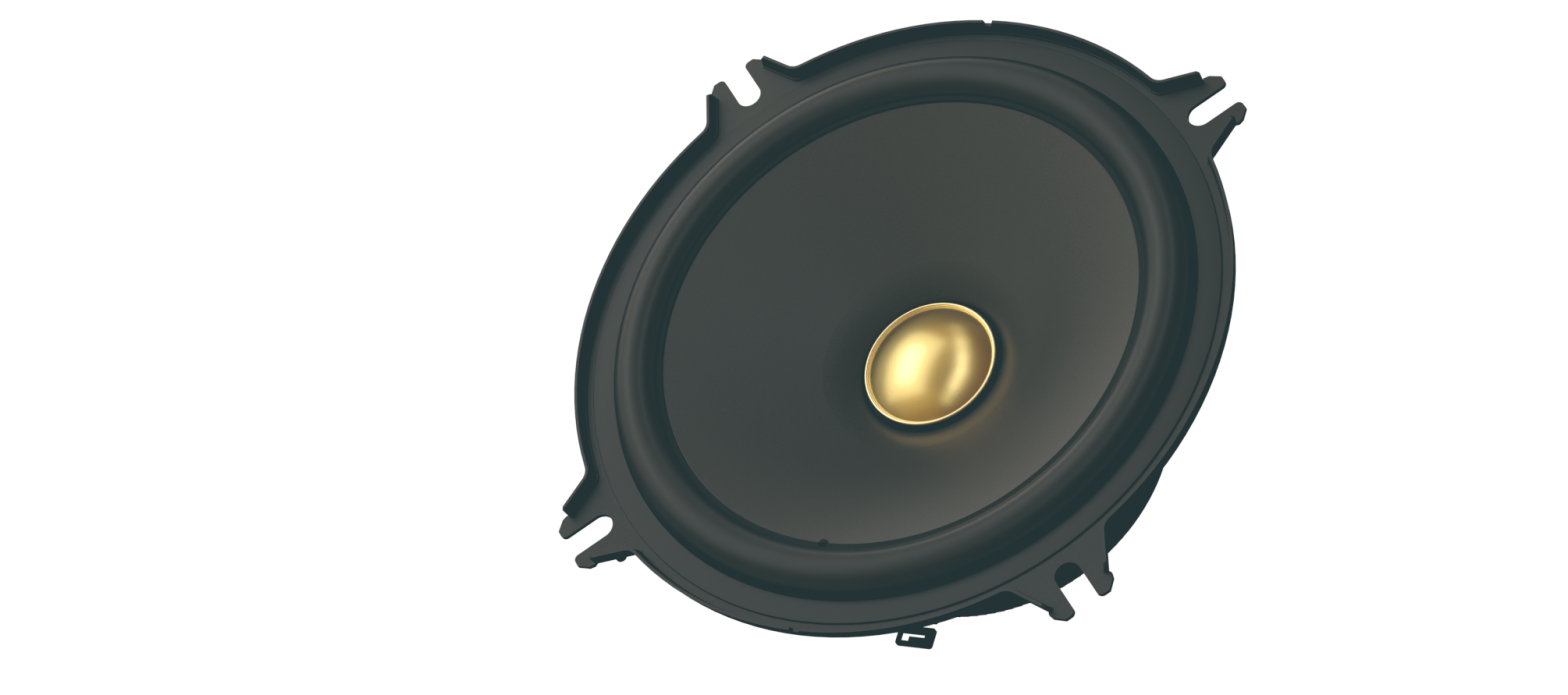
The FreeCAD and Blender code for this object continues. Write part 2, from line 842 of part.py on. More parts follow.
def magnet_bottom():
    return plate_bottom() + d.magnet_thick


def yoke_bottom():
    return magnet_bottom() + d.yoke_thick


def boot_bottom():
    return yoke_bottom() + d.boot_floor


def stake_holes(body, name, plane_depth, length):
    """Holes for the four stakes, cut downward from a depth."""
    plan = new_sketch(body, f"{name}_plan", "XY_Plane", -plane_depth, d.ear_first_angle.value)
    draw_circle(plan, d.stake_pitch_r, ZERO, d.stake_r)
    cut = extrude(body, "Pocket", name, plan, length)
    repeat_round(body, f"{name}_ring", [cut], d.stake_count)


def make_front_plate():
    body = new_body("front_plate")
    ring = broken_ring(d.plate_bore_r, d.plate_r, d.cup_depth, plate_bottom(), d.edge_break)
    lathe(body, "ring", ring)
    stake_holes(body, "stake_hole", d.cup_depth, d.stake_bite)
    return body


def make_magnet():
    body = new_body("magnet")
    ring = broken_ring(
        d.magnet_bore_r, d.magnet_r, plate_bottom(), magnet_bottom(), d.edge_break)
    lathe(body, "ring", ring)
    return body


def make_yoke():
    """Back plate and pole in one forging, with a flared vent through the middle."""
    body = new_body("yoke")
    pole_top = d.cup_depth - d.pole_rise
    lathe(body, "forging", [
        (d.vent_r, -pole_top),
        (d.pole_r, -pole_top),
        (d.pole_r, -magnet_bottom()),
        (d.yoke_r, -magnet_bottom()),
        (d.yoke_r, -(yoke_bottom() - d.edge_break)),
        (d.yoke_r - d.edge_break, -yoke_bottom()),
        (d.vent_mouth_r, -yoke_bottom()),
        (d.vent_mouth_r, -(yoke_bottom() - d.screen_thick)),
        (d.vent_r, -magnet_bottom()),
    ])
    return body


def make_shorting_cap():
    """Thin copper cap over the pole's end."""
    body = new_body("shorting_cap")
    pole_top = d.cup_depth - d.pole_rise
    outer = d.pole_r + d.shorting_wall
    lathe(body, "cap", [
        (d.vent_r, -(pole_top - d.shorting_wall)),
        (outer, -(pole_top - d.shorting_wall)),
        (outer, -(pole_top + d.shorting_skirt)),
        (d.pole_r, -(pole_top + d.shorting_skirt)),
        (d.pole_r, -pole_top),
        (d.vent_r, -pole_top),
    ])
    return body


def make_vent_screen():
    """Perforated disc in the mouth of the vent."""
    body = new_body("vent_screen")
    plan = new_sketch(body, "plan", "XY_Plane", -yoke_bottom())
    draw_circle(plan, ZERO, ZERO, d.vent_mouth_r)
    extrude(body, "Pad", "disc", plan, d.screen_thick)
    for ring in range(1, int(d.screen_rings.value) + 1):
        holes = new_sketch(body, f"holes_{ring}_plan", "XY_Plane", -yoke_bottom())
        draw_circle(holes, d.screen_pitch * ring, ZERO, d.screen_hole_r)
        cut = extrude(body, "Pocket", f"holes_{ring}", holes, d.screen_thick, backwards=True)
        repeat_round(body, f"holes_{ring}_ring", [cut], d.screen_first_count * ring)
    return body


def make_magnet_boot():
    """Rubber cover over the magnet and back plate, open round the vent."""
    body = new_body("magnet_boot")
    top = plate_bottom() - d.boot_lip
    bottom = boot_bottom()
    inner = d.magnet_r + d.boot_gap
    lathe(body, "cover", [
        (d.plate_r + d.edge_break, -top),
        (d.boot_r - d.boot_draft, -top),
        (d.boot_r, -(bottom - d.boot_round)),
        (d.boot_r - d.boot_round, -bottom, -d.boot_round),
        (d.boot_opening_r, -bottom),
        (d.boot_opening_r, -yoke_bottom()),
        (inner, -yoke_bottom()),
        (inner, -plate_bottom()),
        (d.plate_r + d.edge_break, -plate_bottom()),
    ])
    return body


def make_pins(node, places, pin, turn=0.0, ring=None):
    """Headed pins at (x, y) places; ring repeats them round the axis."""
    body = new_body(node)
    plan = new_sketch(body, "shank_plan", "XY_Plane", -pin.end, turn)
    head_plan = new_sketch(body, "head_plan", "XY_Plane", -pin.seat, turn)
    for i, (x, y) in enumerate(places):
        draw_circle(plan, x, y, pin.radius, f"pin{i}")
        draw_circle(head_plan, x, y, pin.head_radius, f"pin{i}")
    shank = extrude(body, "Pad", "shank", plan, pin.end - pin.seat)
    head = extrude(body, "Pad", "head", head_plan, pin.head)
    if ring:
        repeat_round(body, "ring", [shank, head], ring)
    return body


def make_stakes():
    """Four headed stakes that hold the basket's cup to the front plate."""
    pin = SimpleNamespace(
        radius=d.stake_r,
        head_radius=d.stake_head_r,
        head=d.stake_head,
        seat=d.cup_depth - d.sheet,
        end=d.cup_depth + d.stake_bite,
    )
    place = [(d.stake_pitch_r, ZERO)]
    return make_pins("plate_stakes", place, pin, d.ear_first_angle.value, d.stake_count)


# ---- terminals and leads -----------------------------------------------------------------------


def board_bottom():
    return d.cup_depth + d.board_thick


def make_terminal_board():
    """Board under the basket's bracket, with a hooked wire tab that has an L-shaped eye."""
    body = new_body("terminal_board")
    plan = new_sketch(body, "plan", "XY_Plane", -board_bottom())
    half, outer, inner, hook = d.board_half, d.board_outer, d.board_inner, d.hook_round
    draw(plan, [
        (-half, -inner),
        (-half, -d.board_side),
        (-d.board_lug, -d.board_lug_side),
        (-d.board_corner, -outer),
        (d.hook_left, -outer),
        (d.hook_left, -(d.hook_end - hook)),
        (d.hook_left + hook, -d.hook_end, hook),
        (d.hook_right - hook, -d.hook_end),
        (d.hook_right, -(d.hook_end - hook), hook),
        (d.hook_right, -(d.hook_top + hook)),
        (d.hook_right - hook, -d.hook_top, hook),
        (d.hook_root, -d.hook_top),
        (d.hook_root, -outer),
        (d.board_corner, -outer),
        (d.board_lug, -d.board_lug_side),
        (half, -d.board_side),
        (half, -inner),
    ])
    extrude(body, "Pad", "board", plan, d.board_thick)
    eye = new_sketch(body, "eye_plan", "XY_Plane", -d.cup_depth)
    draw(eye, [
        (d.eye_left, -d.eye_top),
        (d.eye_left, -d.eye_bottom),
        (d.eye_right, -d.eye_bottom),
        (d.eye_right, -d.eye_slit_bottom),
        (d.eye_slit_right, -d.eye_slit_bottom),
        (d.eye_slit_right, -d.eye_top),
    ])
    extrude(body, "Pocket", "eye", eye, d.board_thick)
    holes = new_sketch(body, "hole_plan", "XY_Plane", -d.cup_depth)
    draw_circle(holes, d.positive_across, -d.positive_out, d.rivet_r, "positive")
    draw_circle(holes, -d.negative_across, -d.negative_out, d.rivet_r, "negative")
    draw_circle(holes, d.board_rivet_across, -d.board_rivet_out, d.board_rivet_r, "right")
    draw_circle(holes, -d.board_rivet_across, -d.board_rivet_out, d.board_rivet_r, "left")
    extrude(body, "Pocket", "holes", holes, d.board_thick)
    return body


def make_terminal(node, across, out, width):
    """A flat tag under the board that runs out towards -X, with a nosed end and a lock hole."""
    body = new_body(node)
    half = width / 2
    nose = width * d.tag_nose_share
    plan = new_sketch(body, "plan", "XY_Plane", -(board_bottom() + d.tag_thick))
    draw(plan, [
        (across + d.tag_overlap, half - out),
        (-(d.tag_end - nose), half - out),
        (-d.tag_end, half - nose - out),
        (-d.tag_end, nose - half - out),
        (-(d.tag_end - nose), -(half + out)),
        (across + d.tag_overlap, -(half + out)),
    ])
    extrude(body, "Pad", "tag", plan, d.tag_thick)
    holes = new_sketch(body, "hole_plan", "XY_Plane", -board_bottom())
    draw_circle(holes, across, -out, d.rivet_r, "rivet")
    lock = d.tag_end - width * d.lock_place_share
    draw_circle(holes, -lock, -out, width * d.lock_share, "lock")
    extrude(body, "Pocket", "holes", holes, d.tag_thick)
    return body


def make_lead(node, across, out):
    """Flexible braid from its rivet on the board, through a basket window, to the cone's back."""
    body = new_body(node)
    start = d.cup_depth - d.rivet_head
    bend = d.lead_bend_r
    path = new_sketch(body, "path", "YZ_Plane", across)
    draw(path, [
        (-out, -start),
        (-out, -d.lead_straight_top),
        (bend - out, bend - d.lead_straight_top, -bend),
        (-d.lead_end, bend - d.lead_straight_top),
    ], closed=False)
    ring = new_sketch(body, "section", "XY_Plane", -start)
    draw_circle(ring, across, -out, d.lead_r)
    pipe = body.newObject("PartDesign::AdditivePipe", f"{node}_braid")
    pipe.Profile = ring
    pipe.Spine = (path, [])
    body.Tip = pipe
    return body


def flank_under(radius):
    """Height of the cone's back at a radius on its straight flank."""
    wall = cone_offsets()
    low_r = d.cone_bend_r + wall.flank_out
    low = -(d.cone_bend_depth + wall.flank_down)
    rise = (d.seam_height - d.cone_wall - low) / (d.seam_r - d.cone_bend_r)
    return (radius - low_r) * rise + low


def make_lead_anchors():
    """Two glued pads on the cone's back that hold the ends of the leads."""
    body = new_body("lead_anchors")
    profile = [
        (d.anchor_inner_r, flank_under(d.anchor_inner_r)),
        (d.anchor_outer_r, flank_under(d.anchor_outer_r)),
        (d.anchor_outer_r, -d.anchor_depth),
        (d.anchor_inner_r, -d.anchor_depth),
    ]
    pad = lathe(body, "pad", profile, d.anchor_angle.value, d.anchor_turn.value + REAR)
    mirror_across_x(body, "pads", pad)
    return body


def make_coil_wires():
    """Two enamelled wires from the coil's collar along the cone's back to the lead anchors."""
    body = new_body("coil_wires")
    wall = cone_offsets()
    turn = d.anchor_turn.value + REAR
    path = new_sketch(body, "path", "XZ_Plane")
    spin = FreeCAD.Rotation(FreeCAD.Vector(0, 1, 0), turn)
    path.AttachmentOffset = FreeCAD.Placement(FreeCAD.Vector(), spin)
    drop = d.wire_r + d.wire_gap
    throat_r = d.cone_throat_r + wall.throat_out
    throat_depth = d.cone_throat_depth + wall.throat_down
    bend_depth = d.cone_bend_depth + wall.flank_down
    draw(path, [
        (d.wire_start_r, -d.wire_start_depth),
        (d.wire_start_r, -d.wire_turn_depth),
        (throat_r + d.wire_r, -(throat_depth + d.wire_r)),
        (d.cone_bend_r + wall.flank_out, -(bend_depth + drop)),
        (d.anchor_inner_r, flank_under(d.anchor_inner_r) - drop),
    ], closed=False)
    ring = new_sketch(body, "section", "XY_Plane", -d.wire_start_depth, turn)
    draw_circle(ring, d.wire_start_r, ZERO, d.wire_r)
    pipe = body.newObject("PartDesign::AdditivePipe", "coil_wires_run")
    pipe.Profile = ring
    pipe.Spine = (path, [])
    pipe.Transition = "Right corner"
    body.Tip = pipe
    mirror_across_x(body, "pair", pipe)
    return body


def make_terminal_rivets():
    """Two eyelet rivets that clamp the tags to the board and carry the leads."""
    pin = SimpleNamespace(
        radius=d.rivet_r,
        head_radius=d.rivet_head_r,
        head=d.rivet_head,
        seat=d.cup_depth,
        end=board_bottom() + d.tag_thick + d.rivet_head,
    )
    places = [
        (d.positive_across, -d.positive_out),
        (-d.negative_across, -d.negative_out),
    ]
    return make_pins("terminal_rivets", places, pin)


def make_board_rivets():
    """Two rivets that hold the board under the basket's bracket."""
    pin = SimpleNamespace(
        radius=d.board_rivet_r,
        head_radius=d.board_rivet_head_r,
        head=d.rivet_head,
        seat=d.cup_depth - d.sheet,
        end=board_bottom() + d.rivet_head,
    )
    places = [
        (d.board_rivet_across, -d.board_rivet_out),
        (-d.board_rivet_across, -d.board_rivet_out),
    ]
    return make_pins("board_rivets", places, pin)


# ---- assembly ----------------------------------------------------------------------------------

PARTS = [
    make_basket(),
    make_surround(),
    make_cone(),
    make_dust_cap(),
    make_former(),
    make_winding(),
    make_collar(),
    make_neck_adhesive(),
    make_spider(),
    make_front_plate(),
    make_magnet(),
    make_yoke(),
    make_shorting_cap(),
    make_vent_screen(),
    make_magnet_boot(),
    make_stakes(),
    make_terminal_board(),
    make_terminal(
        "positive_terminal", d.positive_across, d.positive_out, d.positive_width),
    make_terminal(
        "negative_terminal", -d.negative_across, d.negative_out, d.negative_width),
    make_terminal_rivets(),
    make_board_rivets(),
    make_lead("positive_lead", d.positive_across, d.positive_out),
    make_lead("negative_lead", -d.negative_across, d.negative_out),
    make_lead_anchors(),
    make_coil_wires(),
]


def check_document():
    """Stops if any object failed to rebuild or any part has no sound shape."""
    for item in doc.Objects:
        if "Invalid" in item.State or "Error" in item.State:
            raise RuntimeError(f"{item.Name} did not rebuild: {item.State}")
    for part in PARTS:
        if part.Shape.isNull() or not part.Shape.isValid() or not part.Shape.Solids:
            raise RuntimeError(f"{part.Label} has no valid shape")


def export_parts():
    os.makedirs("parts", exist_ok=True)
    for part in PARTS:
        part.Shape.exportStep(f"parts/{part.Label}.step")


doc.recompute()
check_document()
export_parts()
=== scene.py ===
import json
import math

import bmesh
import bpy
from mathutils import Matrix, Vector
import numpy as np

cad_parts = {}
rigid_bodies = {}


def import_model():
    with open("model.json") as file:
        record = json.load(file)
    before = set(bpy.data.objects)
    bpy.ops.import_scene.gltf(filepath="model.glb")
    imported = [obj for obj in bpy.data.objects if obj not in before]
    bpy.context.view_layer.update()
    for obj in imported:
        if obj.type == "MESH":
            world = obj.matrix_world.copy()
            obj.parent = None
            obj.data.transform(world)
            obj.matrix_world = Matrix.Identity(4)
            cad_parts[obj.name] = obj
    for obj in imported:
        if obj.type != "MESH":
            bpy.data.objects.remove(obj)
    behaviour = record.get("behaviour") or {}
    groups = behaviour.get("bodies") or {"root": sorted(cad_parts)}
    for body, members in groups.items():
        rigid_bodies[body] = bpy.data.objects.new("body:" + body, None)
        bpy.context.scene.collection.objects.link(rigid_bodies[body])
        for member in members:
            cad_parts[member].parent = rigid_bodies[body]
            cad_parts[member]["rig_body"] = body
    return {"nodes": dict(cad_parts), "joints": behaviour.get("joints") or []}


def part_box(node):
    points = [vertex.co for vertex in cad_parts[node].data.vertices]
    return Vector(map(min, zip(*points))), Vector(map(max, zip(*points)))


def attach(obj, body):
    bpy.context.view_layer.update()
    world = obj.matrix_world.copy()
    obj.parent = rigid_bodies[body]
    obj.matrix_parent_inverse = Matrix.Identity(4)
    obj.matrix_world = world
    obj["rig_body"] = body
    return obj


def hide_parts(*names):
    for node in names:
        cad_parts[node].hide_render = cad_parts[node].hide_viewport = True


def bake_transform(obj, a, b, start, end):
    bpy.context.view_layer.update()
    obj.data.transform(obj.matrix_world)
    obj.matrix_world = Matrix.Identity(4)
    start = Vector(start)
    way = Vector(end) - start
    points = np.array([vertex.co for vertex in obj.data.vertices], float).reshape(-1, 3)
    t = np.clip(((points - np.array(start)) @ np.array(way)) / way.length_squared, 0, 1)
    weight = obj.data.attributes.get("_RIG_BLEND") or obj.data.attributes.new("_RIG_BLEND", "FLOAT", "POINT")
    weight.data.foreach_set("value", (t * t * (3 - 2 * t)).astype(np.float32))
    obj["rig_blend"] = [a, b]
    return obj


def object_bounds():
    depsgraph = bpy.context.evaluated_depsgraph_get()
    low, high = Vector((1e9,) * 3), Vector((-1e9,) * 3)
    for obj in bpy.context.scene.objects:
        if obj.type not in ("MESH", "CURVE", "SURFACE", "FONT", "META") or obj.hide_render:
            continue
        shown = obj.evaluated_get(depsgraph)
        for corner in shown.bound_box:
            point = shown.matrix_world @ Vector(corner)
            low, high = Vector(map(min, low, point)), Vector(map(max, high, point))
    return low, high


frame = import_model()
cad_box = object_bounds()
NODES = frame["nodes"]
JOINT = frame["joints"][0]
FRAME_BODY = JOINT["parent"]
CONE_BODY = JOINT["child"]

MM = 0.001
TURNS = 256
ON_AXIS = 1e-7
WELD = 1e-6

# Radii about the Z axis where a look changes: where the painted highlight on the cap's bead starts, where
# the painted shade in the cone's throat fades out, and where the roll starts
BEAD_HIGHLIGHT_R = 12.7 * MM
THROAT_SHADE_R = 13.8 * MM
ROLL_INNER_R = 49.95 * MM

# ---- mesh helpers --------------------------------------------------------------------------------


def add_object(name, bm, smooth_angle=40.0):
    """Turns a bmesh into a linked object with smooth shading up to an angle."""
    mesh = bpy.data.meshes.new(name)
    bm.to_mesh(mesh)
    bm.free()
    for polygon in mesh.polygons:
        polygon.use_smooth = True
    mesh.set_sharp_from_angle(angle=math.radians(smooth_angle))
    obj = bpy.data.objects.new(name, mesh)
    bpy.context.scene.collection.objects.link(obj)
    return obj


def softened(profile, steps=4):
    """Rounds the corners of a closed (radius, height) loop. A corner's third value is its rounding."""
    out = []
    count = len(profile)
    for i, corner in enumerate(profile):
        here = Vector(corner[:2])
        rounding = corner[2] if len(corner) > 2 else 0.0
        if rounding <= 0:
            out.append(tuple(here))
            continue
        before = (Vector(profile[i - 1][:2]) - here).normalized()
        after = (Vector(profile[(i + 1) % count][:2]) - here).normalized()
        opening = before.angle(after)
        reach = rounding / math.tan(opening / 2)
        centre = here + (before + after).normalized() * rounding / math.sin(opening / 2)
        start = here + before * reach - centre
        end = here + after * reach - centre
        sweep = start.angle_signed(end)
        for k in range(steps + 1):
            turn = -sweep * k / steps
            c, s = math.cos(turn), math.sin(turn)
            out.append((centre.x + start.x * c - start.y * s, centre.y + start.x * s + start.y * c))
    return out


def arc(mid_r, mid_z, radius, first, last, steps):
    """Points on an arc in the (radius, height) plane, angles in degrees."""
    angles = [math.radians(first + (last - first) * k / steps) for k in range(steps + 1)]
    return [(mid_r + radius * math.cos(a), mid_z + radius * math.sin(a)) for a in angles]


def turn_profile(bm, profile, turns=TURNS):
    """Turns a closed (radius, height) loop about Z. Points on the axis close the surface."""
    rings = []
    for r, z in profile:
        if r < ON_AXIS:
            rings.append([bm.verts.new((0, 0, z))])
            continue
        angles = [2 * math.pi * k / turns for k in range(turns)]
        rings.append([bm.verts.new((r * math.cos(a), r * math.sin(a), z)) for a in angles])
    for i, ring in enumerate(rings):
        other = rings[(i + 1) % len(rings)]
        if len(ring) == 1 and len(other) == 1:
            continue
        for k in range(turns):
            following = (k + 1) % turns
            if len(ring) == 1:
                bm.faces.new((ring[0], other[k], other[following]))
            elif len(other) == 1:
                bm.faces.new((ring[k], other[0], ring[following]))
            else:
                bm.faces.new((ring[k], other[k], other[following], ring[following]))
    bmesh.ops.recalc_face_normals(bm, faces=bm.faces)


def lathe(name, profile, turns=TURNS, smooth_angle=40.0):
    """A named object turned from a closed (radius, height) loop."""
    bm = bmesh.new()
    turn_profile(bm, profile, turns)
    return add_object(name, bm, smooth_angle)


def refined(node, bevel, sharp=35.0):
    """A copy of a CAD node whose sharp edges are really rounded, riding where the node rides."""
    bm = bmesh.new()
    bm.from_mesh(NODES[node].data)
    bmesh.ops.remove_doubles(bm, verts=bm.verts, dist=WELD)
    flat = math.radians(0.4)
    bmesh.ops.dissolve_limit(bm, angle_limit=flat, verts=bm.verts, edges=bm.edges)
    edges = [e for e in bm.edges if e.is_manifold and e.calc_face_angle(0) > math.radians(sharp)]
    bmesh.ops.bevel(
        bm, geom=edges, offset=bevel, segments=2, profile=0.5, affect="EDGES",
        clamp_overlap=True, offset_type="OFFSET")
    obj = add_object(f"{node}_finish", bm)
    weigh = obj.modifiers.new("even_shading", "WEIGHTED_NORMAL")
    weigh.keep_sharp = True
    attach(obj, NODES[node]["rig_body"])
    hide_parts(node)
    return obj


def heading(points, i):
    """The direction of a path at its point i."""
    return (points[min(i + 1, len(points) - 1)] - points[max(i - 1, 0)]).normalized()


def skin(bm, rings):
    """Joins rings of equal count into one closed skin with flat ends."""
    for low, high in zip(rings, rings[1:]):
        for k in range(len(low)):
            following = (k + 1) % len(low)
            bm.faces.new((low[k], low[following], high[following], high[k]))
    bm.faces.new(list(reversed(rings[0])))
    bm.faces.new(rings[-1])


def tube_along(bm, points, radius, sides):
    """Adds a round tube through points to a bmesh."""
    rings = []
    up = Vector((1, 0, 0))
    for i, p in enumerate(points):
        ahead = heading(points, i)
        side = (up - ahead * up.dot(ahead)).normalized()
        other = ahead.cross(side)
        angles = [2 * math.pi * k / sides for k in range(sides)]
        rings.append([
            bm.verts.new(p + side * radius * math.cos(a) + other * radius * math.sin(a))
            for a in angles])
    skin(bm, rings)


# ---- material helpers ----------------------------------------------------------------------------


class Look:
    """A node material with object-space texture coordinates and one Principled shader."""

    def __init__(self, name, **values):
        self.material = bpy.data.materials.new(name)
        self.material.use_nodes = True
        self.tree = self.material.node_tree
        self.shader = self.tree.nodes["Principled BSDF"]
        self.place = self.node("ShaderNodeTexCoord").outputs["Object"]
        for key, value in values.items():
            self.shader.inputs[key.replace("_", " ")].default_value = value

    def node(self, kind, **values):
        node = self.tree.nodes.new(kind)
        for key, value in values.items():
            setattr(node, key, value)
        return node

    def link(self, source, target):
        self.tree.links.new(source, target)

    def noise(self, scale, detail=2.0, roughness=0.5, stretch=None):
        node = self.node("ShaderNodeTexNoise")
        node.inputs["Scale"].default_value = scale
        node.inputs["Detail"].default_value = detail
        node.inputs["Roughness"].default_value = roughness
        source = self.place
        if stretch:
            mapping = self.node("ShaderNodeMapping")
            mapping.inputs["Scale"].default_value = stretch
            self.link(self.place, mapping.inputs["Vector"])
            source = mapping.outputs["Vector"]
        self.link(source, node.inputs["Vector"])
        return node.outputs["Fac"]

    def ramp(self, source, low, high, first=0.3, last=0.7):
        """Maps a 0..1 signal onto a pair of greys or colours."""
        node = self.node("ShaderNodeValToRGB")
        node.color_ramp.elements[0].position = first
        node.color_ramp.elements[1].position = last
        for element, value in zip(node.color_ramp.elements, (low, high)):
            element.color = (*value, 1) if isinstance(value, tuple) else (value, value, value, 1)
        self.link(source, node.inputs["Fac"])
        return node.outputs["Color"]

    def bump(self, source, depth, strength):
        node = self.node("ShaderNodeBump")
        node.inputs["Distance"].default_value = depth
        node.inputs["Strength"].default_value = strength
        self.link(source, node.inputs["Height"])
        earlier = self.shader.inputs["Normal"].links
        if earlier:
            self.link(earlier[0].from_socket, node.inputs["Normal"])
        self.link(node.outputs["Normal"], self.shader.inputs["Normal"])

    def turned(self, amount):
        """Stretches highlights around the Z axis, as on a turned or moulded ring."""
        around = self.node("ShaderNodeVectorMath", operation="CROSS_PRODUCT")
        around.inputs[0].default_value = (0, 0, 1)
        unit = self.node("ShaderNodeVectorMath", operation="NORMALIZE")
        self.link(self.place, around.inputs[1])
        self.link(around.outputs["Vector"], unit.inputs[0])
        self.link(unit.outputs["Vector"], self.shader.inputs["Tangent"])
        self.shader.inputs["Anisotropic"].default_value = amount

    def beyond(self, radius, blend):
        """A signal that rises from 0 to 1 across a radius about the Z axis."""
        flat = self.node("ShaderNodeVectorMath", operation="MULTIPLY")
        flat.inputs[1].default_value = (1, 1, 0)
        reach = self.node("ShaderNodeVectorMath", operation="LENGTH")
        step = self.node("ShaderNodeMapRange", interpolation_type="SMOOTHSTEP")
        step.inputs["From Min"].default_value = radius
        step.inputs["From Max"].default_value = radius + blend
        self.link(self.place, flat.inputs[0])
        self.link(flat.outputs["Vector"], reach.inputs[0])
        self.link(reach.outputs["Value"], step.inputs["Value"])
        return step.outputs["Result"]

    def shine(self, signal, low, high):
        self.link(self.ramp(signal, low, high, 0.0, 1.0), self.shader.inputs["Specular IOR Level"])

    def mixed(self, signal, low, high):
        """Blends a colour at signal 0 with one at signal 1. Each is a fixed colour or an output."""
        mix = self.node("ShaderNodeMix", data_type="RGBA")
        self.link(signal, mix.inputs["Factor"])
        ends = [socket for socket in mix.inputs if socket.type == "RGBA"]
        for end, value in zip(ends, (low, high)):
            if isinstance(value, tuple):
                end.default_value = (*value, 1)
            else:
                self.link(value, end)
        return next(socket for socket in mix.outputs if socket.type == "RGBA")

    def colour(self, source):
        self.link(source, self.shader.inputs["Base Color"])

    def roughness(self, source):
        self.link(source, self.shader.inputs["Roughness"])


def paint(obj, look):
    obj.data.materials.clear()
    obj.data.materials.append(look.material)


# The tint of reflections on the steel, the rubber and the cone
COOL = (0.90, 0.98, 1.0, 1)


def coated_steel():
    look = Look("coated_steel", Specular_Tint=COOL, Specular_IOR_Level=0.7)
    speckle = look.noise(3200.0, detail=3.0)
    look.colour(look.ramp(look.noise(90.0, 4.0), (0.016, 0.017, 0.017), (0.022, 0.023, 0.023)))
    look.roughness(look.ramp(speckle, 0.44, 0.54))
    look.bump(speckle, 0.010 * MM, 0.5)
    look.turned(0.5)
    return look


def moulded_rubber():
    look = Look("moulded_rubber", Specular_Tint=COOL)
    fine = look.noise(4200.0, detail=2.0)
    look.colour(look.ramp(look.noise(70.0, 3.0), (0.014, 0.015, 0.015), (0.019, 0.020, 0.020)))
    look.roughness(look.ramp(fine, 0.44, 0.50))
    look.bump(fine, 0.006 * MM, 0.4)
    look.turned(0.75)
    look.shine(look.beyond(ROLL_INNER_R, 0.2 * MM), 0.12, 0.72)
    return look


def grained_cone():
    look = Look("grained_cone", Specular_Tint=COOL)
    grain = look.noise(3600.0, detail=3.0, roughness=0.7)
    body = look.ramp(grain, (0.034, 0.036, 0.037), (0.070, 0.073, 0.074), 0.35, 0.65)
    # Painted shade: towards the neck the cone turns nearly black and its reflections are dimmed, as where
    # the cap shades the throat
    clear_of_throat_shade = look.beyond(THROAT_SHADE_R, 1.8 * MM)
    look.colour(look.mixed(clear_of_throat_shade, (0.010, 0.010, 0.010), body))
    look.shine(clear_of_throat_shade, 0.15, 0.95)
    look.roughness(look.ramp(grain, 0.46, 0.56))
    look.bump(grain, 0.012 * MM, 0.6)
    look.turned(0.75)
    return look


def satin_gold():
    look = Look("satin_gold", Metallic=1.0, Coat_Weight=0.15, Coat_Roughness=0.3)
    drift = look.noise(60.0, 1.0)
    body = look.ramp(drift, (0.918, 0.752, 0.335), (0.922, 0.757, 0.340), 0.0, 1.0)
    # Painted highlight: the rolled bead is given a paler gold, so that it shows as a pale bright ring all
    # round the cap
    look.colour(look.mixed(look.beyond(BEAD_HIGHLIGHT_R, 0.4 * MM), body, (0.93, 0.82, 0.55)))
    look.roughness(look.ramp(drift, 0.272, 0.276, 0.0, 1.0))
    return look


def spider_cloth():
    look = Look("spider_cloth", Roughness=0.85, Sheen_Weight=0.3)
    threads = []
    for axis in ("X", "Y"):
        wave = look.node("ShaderNodeTexWave", bands_direction=axis)
        wave.inputs["Scale"].default_value = 420.0
        wave.inputs["Distortion"].default_value = 0.6
        look.link(look.place, wave.inputs["Vector"])
        threads.append(wave.outputs["Fac"])
    weave = look.node("ShaderNodeMath", operation="MULTIPLY")
    look.link(threads[0], weave.inputs[0])
    look.link(threads[1], weave.inputs[1])
    look.colour(look.ramp(weave.outputs[0], (0.30, 0.19, 0.07), (0.62, 0.46, 0.22), 0.05, 0.8))
    look.bump(weave.outputs[0], 0.08 * MM, 0.8)
    return look


def plated_steel():
    look = Look("plated_steel", Metallic=1.0, Roughness=0.3)
    lathe_marks = look.noise(900.0, 2.0, stretch=(0.05, 0.05, 6.0))
    look.colour(look.ramp(look.noise(60.0, 4.0), (0.50, 0.49, 0.44), (0.66, 0.64, 0.57)))
    look.roughness(look.ramp(lathe_marks, 0.24, 0.42))
    look.bump(lathe_marks, 0.008 * MM, 0.5)
    return look


def ferrite():
    look = Look("ferrite", Roughness=0.7)
    grit = look.noise(1500.0, 5.0, 0.7)
    look.colour(look.ramp(grit, (0.025, 0.025, 0.027), (0.06, 0.06, 0.064)))
    look.bump(grit, 0.03 * MM, 0.8)
    return look


def copper(name, low, high, rough):
    look = Look(name, Metallic=1.0, Roughness=rough)
    tarnish = look.noise(240.0, 4.0)
    look.colour(look.ramp(tarnish, low, high))
    look.roughness(look.ramp(look.noise(1400.0), rough - 0.06, rough + 0.08))
    look.bump(look.noise(4000.0), 0.005 * MM, 0.5)
    return look


def boot_rubber():
    look = Look("boot_rubber", Roughness=0.6, Specular_IOR_Level=0.4)
    grain = look.noise(1800.0, 3.0)
    look.colour(look.ramp(look.noise(50.0, 3.0), (0.012, 0.020, 0.023), (0.020, 0.030, 0.033)))
    look.roughness(look.ramp(grain, 0.52, 0.68))
    look.bump(grain, 0.02 * MM, 0.5)
    return look


def board_plastic():
    look = Look("board_plastic", Roughness=0.5)
    fibre = look.noise(900.0, 3.0, stretch=(0.3, 3.0, 1.0))
    look.colour(look.ramp(fibre, (0.012, 0.020, 0.022), (0.022, 0.032, 0.034)))
    look.roughness(look.ramp(fibre, 0.42, 0.58))
    look.bump(fibre, 0.01 * MM, 0.5)
    return look


def kraft_paper():
    look = Look("kraft_paper", Roughness=0.9)
    fibre = look.noise(700.0, 4.0, stretch=(1.0, 1.0, 4.0))
    look.colour(look.ramp(fibre, (0.22, 0.13, 0.06), (0.40, 0.27, 0.14)))
    look.bump(fibre, 0.03 * MM, 0.6)
    return look


